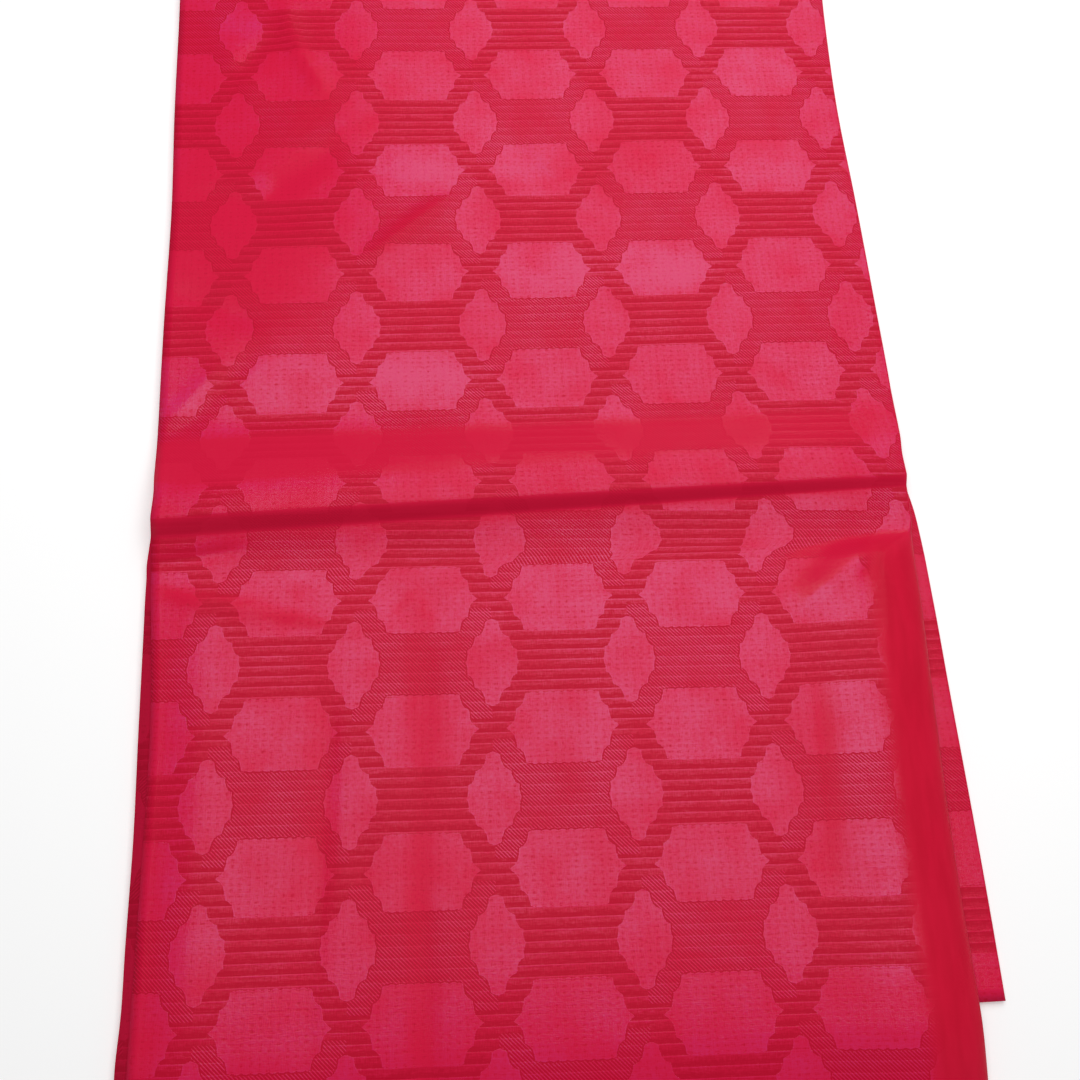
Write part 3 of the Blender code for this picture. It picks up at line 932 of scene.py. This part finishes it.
def damask_material():
    """Red damask. The figures are a plain weave on a glossier ground of stripes and twill. Their pale
    pink, and that of the brightest stripes, is painted sheen, painted only where the face lies level.
    """
    material = bpy.data.materials.new("red_damask")
    material.use_nodes = True
    tree = material.node_tree
    shader = tree.nodes["Principled BSDF"]
    graph = Graph(tree)
    place = graph.node("ShaderNodeUVMap", uv_map="weave").outputs[0]
    parts = graph.node("ShaderNodeSeparateXYZ", {"Vector": place}).outputs
    column, row = parts[0], parts[1]

    warp = graph.noise(graph.math("MULTIPLY", column, SLUB_STRETCH), row, SLUB_SCALE, SLUB_DETAIL)
    weft = graph.noise(column, graph.math("MULTIPLY", row, SLUB_STRETCH), SLUB_SCALE, SLUB_DETAIL)
    slub = graph.math("SUBTRACT", graph.math("ADD", warp, weft), 1.0)
    stretched_row = graph.math("MULTIPLY", row, STREAK_STRETCH)
    streak = graph.math("SUBTRACT", graph.noise(column, stretched_row, STREAK_SCALE), 0.5)
    blotch = graph.math("SUBTRACT", graph.noise(column, row, BLOTCH_SCALE, BLOTCH_DETAIL), 0.5)

    gloss = graph.node("ShaderNodeAttribute", attribute_name="gloss").outputs["Fac"]
    flatness = graph.node("ShaderNodeAttribute", attribute_name="flatness").outputs["Fac"]
    roll = graph.node("ShaderNodeAttribute", attribute_name="roll").outputs["Fac"]
    open_face = graph.math("SUBTRACT", 1.0, roll)
    # Under a dull patch the pattern is painted fainter: painted shade.
    painted_sheen_clarity = graph.range(gloss, -1.0, 0.0, DULLEST_CLARITY, 1.0, smooth=False)
    clarity = graph.math("MULTIPLY", graph.math("MULTIPLY", flatness, open_face), painted_sheen_clarity)
    contrast = graph.range(clarity, 0.0, FULL_CLARITY, FAINTEST_CONTRAST, 1.0, smooth=False)

    depth = figure_depth(graph, column, row)
    ragged = graph.math("ADD", depth, graph.math("MULTIPLY", slub, RAGGED_SHARE))
    figure = graph.range(ragged, -FIGURE_SOFTNESS, FIGURE_SOFTNESS)

    stripe_turn = graph.math("ADD", graph.math("MULTIPLY", row, float(STRIPES_PER_ROW)), STRIPE_SHIFT)
    stripe = graph.curve(graph.math("FRACT", stripe_turn), STRIPE_SHEEN)
    across = graph.math("MULTIPLY", column, float(TWILLS_PER_COLUMN))
    down = graph.math("MULTIPLY", row, float(TWILLS_PER_ROW))
    turn = graph.math("MULTIPLY", graph.math("SUBTRACT", across, down), 2 * math.pi)
    wave = graph.math("SINE", turn)
    twill_line = graph.range(wave, TWILL_LINE_START, TWILL_LINE_END, TWILL_LOW, TWILL_HIGH)
    twill = graph.math("ADD", twill_line, graph.math("MULTIPLY", stripe, TWILL_STRIPE_SHARE))
    twilled = twill_share(graph, column, row)
    near_figure = graph.range(depth, -TWILL_MARGIN - MARGIN_SOFTNESS, -TWILL_MARGIN)
    margin = graph.math("MULTIPLY", twilled, near_figure)
    ground = graph.mix(margin, graph.mix(twilled, stripe, twill), MARGIN_SHEEN)

    dot_x = graph.math("COSINE", graph.math("MULTIPLY", column, DOTS_PER_COLUMN * 2 * math.pi))
    dot_y = graph.math("COSINE", graph.math("MULTIPLY", row, DOTS_PER_ROW * 2 * math.pi))
    dots = graph.range(graph.math("ADD", dot_x, dot_y), 0.0, DOT_FULL)
    rim = graph.range(depth, RIM_START, RIM_END, RIM_SHEEN, 0.0)
    dot_loss = graph.math("MULTIPLY", dots, DOT_DEPTH)
    plain = graph.math("SUBTRACT", graph.math("ADD", FIGURE_SHEEN, rim), dot_loss)

    sheen = graph.mix(figure, ground, plain)
    thread = graph.math("MULTIPLY", slub, graph.mix(figure, GROUND_THREAD, FIGURE_THREAD))
    thread = graph.math("ADD", thread, graph.math("MULTIPLY", streak, STREAK_SHARE))
    sheen = graph.math("MAXIMUM", graph.math("ADD", sheen, thread), 0.0)

    uneven = graph.math("ADD", graph.math("MULTIPLY", blotch, BLOTCH_SHARE), 1.0)
    # Sheen of the pattern scaled by the patches and the noise. It sets the coat's gloss, and where the
    # face lies level it paints pink sheen into the colour.
    painted_and_coat_sheen = graph.math("MULTIPLY", graph.math("MULTIPLY", sheen, uneven), graph.math("ADD", gloss, 1.0))
    painted_and_coat_sheen = graph.math("MULTIPLY", painted_and_coat_sheen, open_face)
    painted_level_sheen = graph.math("MULTIPLY", painted_and_coat_sheen, flatness)
    veil_share = graph.range(flatness, 0.0, 1.0, SLOPE_VEIL, 1.0, smooth=False)
    veil = graph.math("MULTIPLY", painted_and_coat_sheen, veil_share)

    sheen_share = graph.range(sheen, 0.0, FULL_RED_SHEEN, smooth=False)
    red_share = graph.mix(contrast, EVEN_RED_SHARE, sheen_share)
    red = graph.mix_colour(red_share, DEEP_RED, CLEAR_RED)
    # Where the face tilts, its colour is painted towards the plain slope red: painted light and shade of
    # the slopes in place of the pattern.
    slope_share = graph.range(flatness, 0.0, 1.0, SLOPE_RED_SHARE, 1.0, smooth=False)
    red = graph.mix_colour(slope_share, PAINTED_SLOPE_RED, red)
    # On the roll's face the pattern gives way to painted shade: a shaded red with darker streaks.
    fold_column = graph.math("MULTIPLY", column, ROLL_STREAK_COLUMNS)
    fold_row = graph.math("MULTIPLY", row, ROLL_STREAK_ROWS)
    roll_shade_streak = graph.noise(fold_column, fold_row, ROLL_STREAK_SCALE)
    roll_shade_share = graph.range(roll_shade_streak, ROLL_STREAK_START, ROLL_STREAK_END)
    roll_painted_shade = graph.mix_colour(roll_shade_share, ROLL_PAINTED_DARK_SHADE, ROLL_PAINTED_SHADE_RED)
    red = graph.mix_colour(roll, red, roll_painted_shade)
    pink_share = graph.range(painted_level_sheen, PINK_START, PINK_END, smooth=False)
    graph.feed(shader.inputs["Base Color"], graph.mix_colour(pink_share, red, PAINTED_SHEEN_PINK))
    coat = graph.range(veil, 0.0, FULL_VEIL, COAT_LOW, COAT_HIGH, smooth=False)
    graph.feed(shader.inputs["Coat Weight"], coat)
    graph.feed(shader.inputs["Roughness"], graph.mix(figure, GROUND_ROUGHNESS, FIGURE_ROUGHNESS))
    shader.inputs["Specular IOR Level"].default_value = SPECULAR_LEVEL
    shader.inputs["Coat Roughness"].default_value = COAT_ROUGHNESS
    shader.inputs["Sheen Weight"].default_value = SHEEN_WEIGHT
    shader.inputs["Sheen Roughness"].default_value = SHEEN_ROUGHNESS
    shader.inputs["Sheen Tint"].default_value = SHEEN_TINT

    relief = graph.math("MULTIPLY", sheen, contrast)
    inputs = {"Height": relief, "Strength": RELIEF_STRENGTH, "Distance": RELIEF_HEIGHT}
    bump = graph.node("ShaderNodeBump", inputs).outputs[0]
    graph.feed(shader.inputs["Normal"], bump)
    graph.feed(shader.inputs["Coat Normal"], bump)
    return material


def folded_cloth():
    """The whole cloth as one thin sheet, its face on the outer faces of the solid model."""
    over = over_rows()
    weave = over_weave(over)
    rest = turn_rows() + under_rows()
    weave += further_weave(weave[-1], over[-1], rest)
    rows = over + rest
    fields = {
        "gloss": painted_sheen_and_gloss_rows(over, rest),
        "flatness": flatness_rows(rows),
        "roll": roll_rows(rest),
    }
    mesh = sheet_mesh("damask_cloth", rows, weave, fields)
    mesh.materials.append(damask_material())
    cloth = bpy.data.objects.new("damask_cloth", mesh)
    bpy.context.collection.objects.link(cloth)
    thickness = cloth.modifiers.new("Thickness", "SOLIDIFY")
    thickness.thickness = CLOTH
    thickness.offset = 0.0
    thickness.use_even_offset = True
    thickness.use_quality_normals = True
    thickness.use_rim = True
    return cloth


# Camera, whose pose was solved from the woven repeat in the photo
SENSOR_WIDTH = 36.0
LENS = 36.1
CAMERA_PLACE = Vector((-0.0343, -0.1957, 0.5456))
CAMERA_RIGHT = Vector((0.9979, -0.0492, 0.0421))
CAMERA_FORWARD = Vector((0.0546, 0.2907, -0.9553))

# Pale floor, and light from two soft boxes and a dim white world
FLOOR_HALF = 3.0
FLOOR_GREY = 0.97
FLOOR_GLOW = 0.08
FLOOR_ROUGHNESS = 0.9
FLOOR_SPECULAR = 0.1
SOFTBOX_RADIANCE = 2.5
WORLD_STRENGTH = 0.22
WHITE = (1.0, 1.0, 1.0, 1.0)


def make_camera():
    """Above the near end and looking down, a little past square on."""
    camera = bpy.data.objects.new("camera", bpy.data.cameras.new("camera"))
    camera.data.sensor_width = SENSOR_WIDTH
    camera.data.lens = LENS
    up = CAMERA_RIGHT.cross(CAMERA_FORWARD)
    turn = Matrix((CAMERA_RIGHT, up, -CAMERA_FORWARD)).transposed().to_4x4()
    camera.matrix_world = Matrix.Translation(CAMERA_PLACE) @ turn
    camera.data.clip_start = 0.01
    bpy.context.collection.objects.link(camera)
    bpy.context.scene.camera = camera


def make_floor():
    floor_mesh = bpy.data.meshes.new("floor")
    half = FLOOR_HALF
    corners = [(-half, -half, 0.0), (half, -half, 0.0), (half, half, 0.0), (-half, half, 0.0)]
    floor_mesh.from_pydata(corners, [], [(0, 1, 2, 3)])
    material = bpy.data.materials.new("pale_floor")
    material.use_nodes = True
    shader = material.node_tree.nodes["Principled BSDF"]
    shader.inputs["Base Color"].default_value = (FLOOR_GREY, FLOOR_GREY, FLOOR_GREY, 1.0)
    shader.inputs["Emission Color"].default_value = WHITE
    shader.inputs["Emission Strength"].default_value = FLOOR_GLOW
    shader.inputs["Roughness"].default_value = FLOOR_ROUGHNESS
    shader.inputs["Specular IOR Level"].default_value = FLOOR_SPECULAR
    floor_mesh.materials.append(material)
    floor = bpy.data.objects.new("floor", floor_mesh)
    bpy.context.collection.objects.link(floor)


def area_light(name, place, size_x, size_y, radiance):
    """Soft box that looks straight down. Its power follows from its radiance and its size."""
    light = bpy.data.lights.new(name, "AREA")
    light.shape = "RECTANGLE"
    light.size = size_x
    light.size_y = size_y
    light.energy = radiance * math.pi * size_x * size_y
    lamp = bpy.data.objects.new(name, light)
    lamp.location = place
    bpy.context.collection.objects.link(lamp)


def make_light():
    area_light("near_softbox", (0.10, 0.20, 1.2), 1.5, 1.2, SOFTBOX_RADIANCE)
    area_light("far_softbox", (0.32, 1.25, 1.2), 1.14, 0.9, SOFTBOX_RADIANCE)
    world = bpy.data.worlds.new("studio")
    world.use_nodes = True
    background = world.node_tree.nodes["Background"]
    background.inputs["Color"].default_value = WHITE
    background.inputs["Strength"].default_value = WORLD_STRENGTH
    bpy.context.scene.world = world
    bpy.context.scene.view_settings.view_transform = "Standard"


make_camera()
make_floor()
make_light()

cloth = folded_cloth()
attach(cloth, "root")
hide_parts("folded_cloth")
